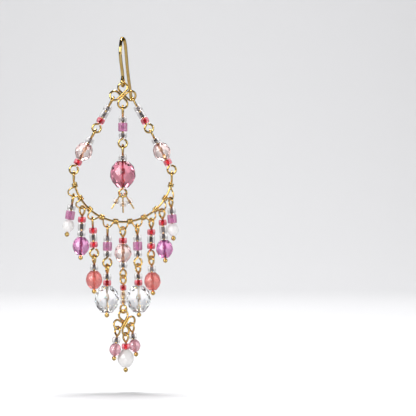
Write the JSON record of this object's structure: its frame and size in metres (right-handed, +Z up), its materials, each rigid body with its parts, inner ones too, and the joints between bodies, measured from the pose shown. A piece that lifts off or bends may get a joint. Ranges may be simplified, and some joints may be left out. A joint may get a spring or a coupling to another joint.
{
  "type": "chandelier earring",
  "caption": "Chandelier earring: fishhook ear wire, wire clovers, beaded side chains and pendant, and a wrapped crescent frame fringed with faceted glass bead drops",
  "frame": {"origin": "underside of the ear wire's bend, where it sits in the ear", "axes": "+Z up, the front faces -Y, the crescent lies along X"},
  "size_m": [0.0276, 0.0126, 0.0798],
  "materials": {
    "gold_wire": "polished, gold-coloured",
    "mauve_glass": "clear orchid, polished",
    "pink_glass": "almost clear rose, polished facets",
    "rose_glass": "clear rose pink, polished facets",
    "purple_glass": "clear lilac, polished facets",
    "coral_glass": "milky coral, polished facets",
    "crystal_glass": "colourless, polished facets",
    "white_glass": "milky white, polished facets",
    "lavender_glass": "pale pink violet, polished facets"
  },
  "bodies": {
    "hook": {"ear_hook": "gold_wire"},
    "chandelier": {"clover_top": "gold_wire", "side_upper_left_link": "gold_wire", "side_lower_left_link": "gold_wire", "side_lower_left_bead": "pink_glass", "side_upper_right_link": "gold_wire", "side_lower_right_link": "gold_wire", "side_lower_right_bead": "pink_glass", "pendant_upper_link": "gold_wire", "pendant_upper_tube": "mauve_glass", "pendant_lower_link": "gold_wire", "pendant_lower_bead": "rose_glass", "tiny_left_pin": "gold_wire", "tiny_centre_pin": "gold_wire", "tiny_right_pin": "gold_wire", "frame_wire": "gold_wire", "wrap_wire": "gold_wire", "white_left_pin": "gold_wire", "white_left_tube": "mauve_glass", "white_left_bead": "white_glass", "purple_left_pin": "gold_wire", "purple_left_bead": "purple_glass", "coral_left_link": "gold_wire", "coral_left_pin": "gold_wire", "coral_left_bead": "coral_glass", "crystal_left_link": "gold_wire", "crystal_left_tube": "mauve_glass", "crystal_left_pin": "gold_wire", "crystal_left_bead": "crystal_glass", "centre_upper_link": "gold_wire", "centre_upper_bead": "pink_glass", "centre_lower_link": "gold_wire", "clover_lower": "gold_wire", "lower_left_pin": "gold_wire", "lower_left_bead": "lavender_glass", "lower_bottom_pin": "gold_wire", "lower_bottom_bead": "white_glass", "lower_right_pin": "gold_wire", "lower_right_bead": "lavender_glass", "crystal_right_link": "gold_wire", "crystal_right_tube": "mauve_glass", "crystal_right_pin": "gold_wire", "crystal_right_bead": "crystal_glass", "coral_right_link": "gold_wire", "coral_right_pin": "gold_wire", "coral_right_bead": "coral_glass", "purple_right_pin": "gold_wire", "purple_right_bead": "purple_glass", "white_right_pin": "gold_wire", "white_right_tube": "mauve_glass", "white_right_bead": "white_glass"}
  },
  "joints": [
    {"name": "ear_ring_swing", "type": "hinge", "parent": "hook", "child": "chandelier", "pos_m": [0, 0, -0.01094], "axis": [0.1736, 0.9848, 0], "range_deg": [-75, 75]}
  ]
}
